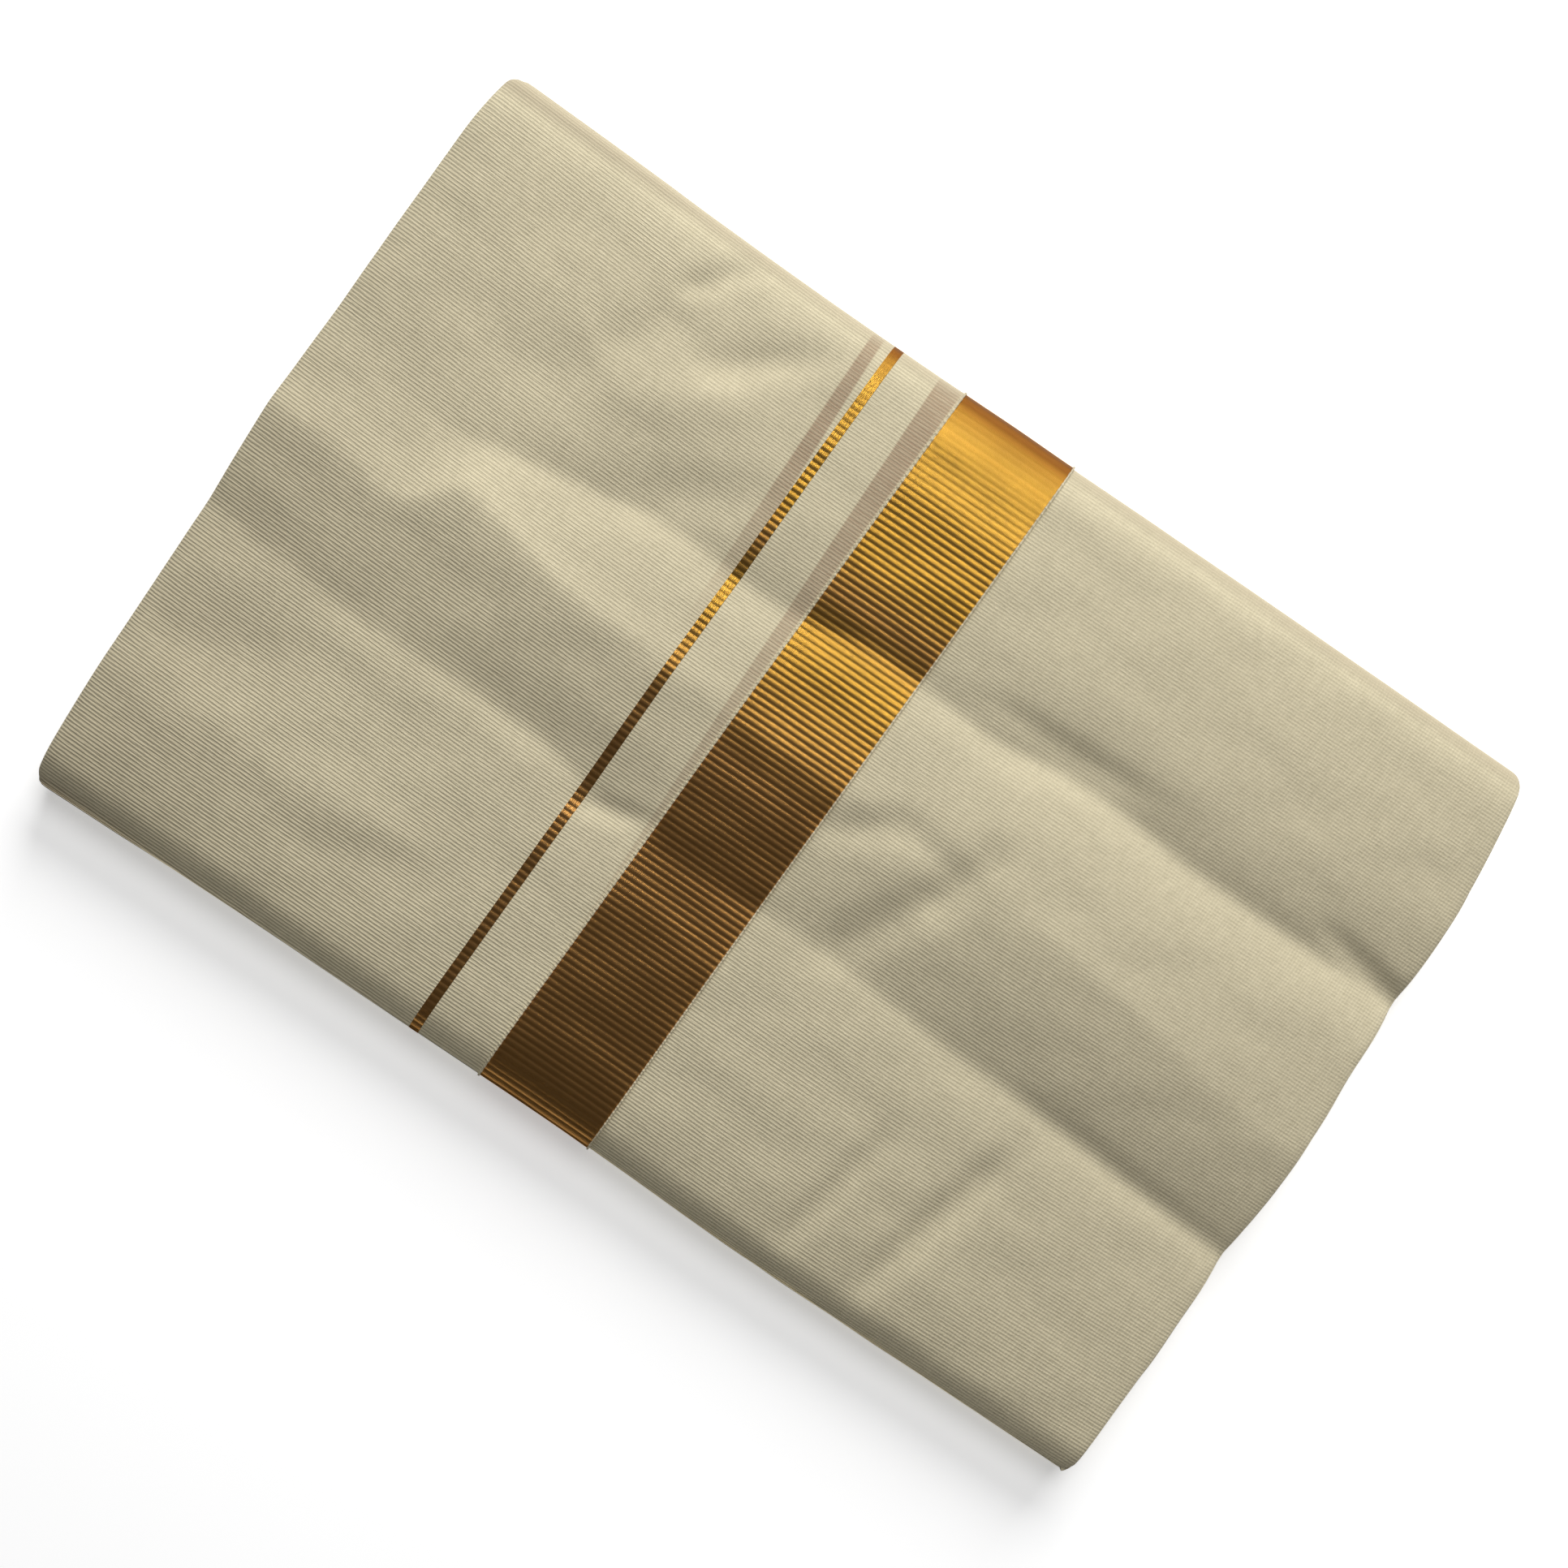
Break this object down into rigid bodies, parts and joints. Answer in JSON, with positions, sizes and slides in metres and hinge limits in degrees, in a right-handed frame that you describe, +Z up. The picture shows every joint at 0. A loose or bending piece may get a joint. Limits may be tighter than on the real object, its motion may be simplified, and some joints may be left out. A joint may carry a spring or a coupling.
{
  "type": "dhoti cloth",
  "caption": "Flat-folded cotton dhoti: a long cream wrap cloth folded into a soft rectangular packet, with a ribbed gold zari border band and a fine zari line across its top.",
  "frame": {"origin": "under the middle of the packet, on the surface it lies on", "axes": "+X along the packet from the plain half of the top towards the half beyond the border, +Y across it towards the closed fold, +Z up"},
  "size_m": [0.3598, 0.2397, 0.0204],
  "materials": {
    "cotton_cloth": "unbleached plain-woven cotton with a faint weft rib, matt",
    "zari_gold": "woven gold thread with raised weft ribs, satin metallic"
  },
  "bodies": {
    "root": {"top_layer_field": "cotton_cloth", "zari_fine_line": "zari_gold", "top_layer_strip": "cotton_cloth", "zari_border_band": "zari_gold", "second_layer": "cotton_cloth", "hidden_layers": "cotton_cloth"}
  },
  "joints": []
}
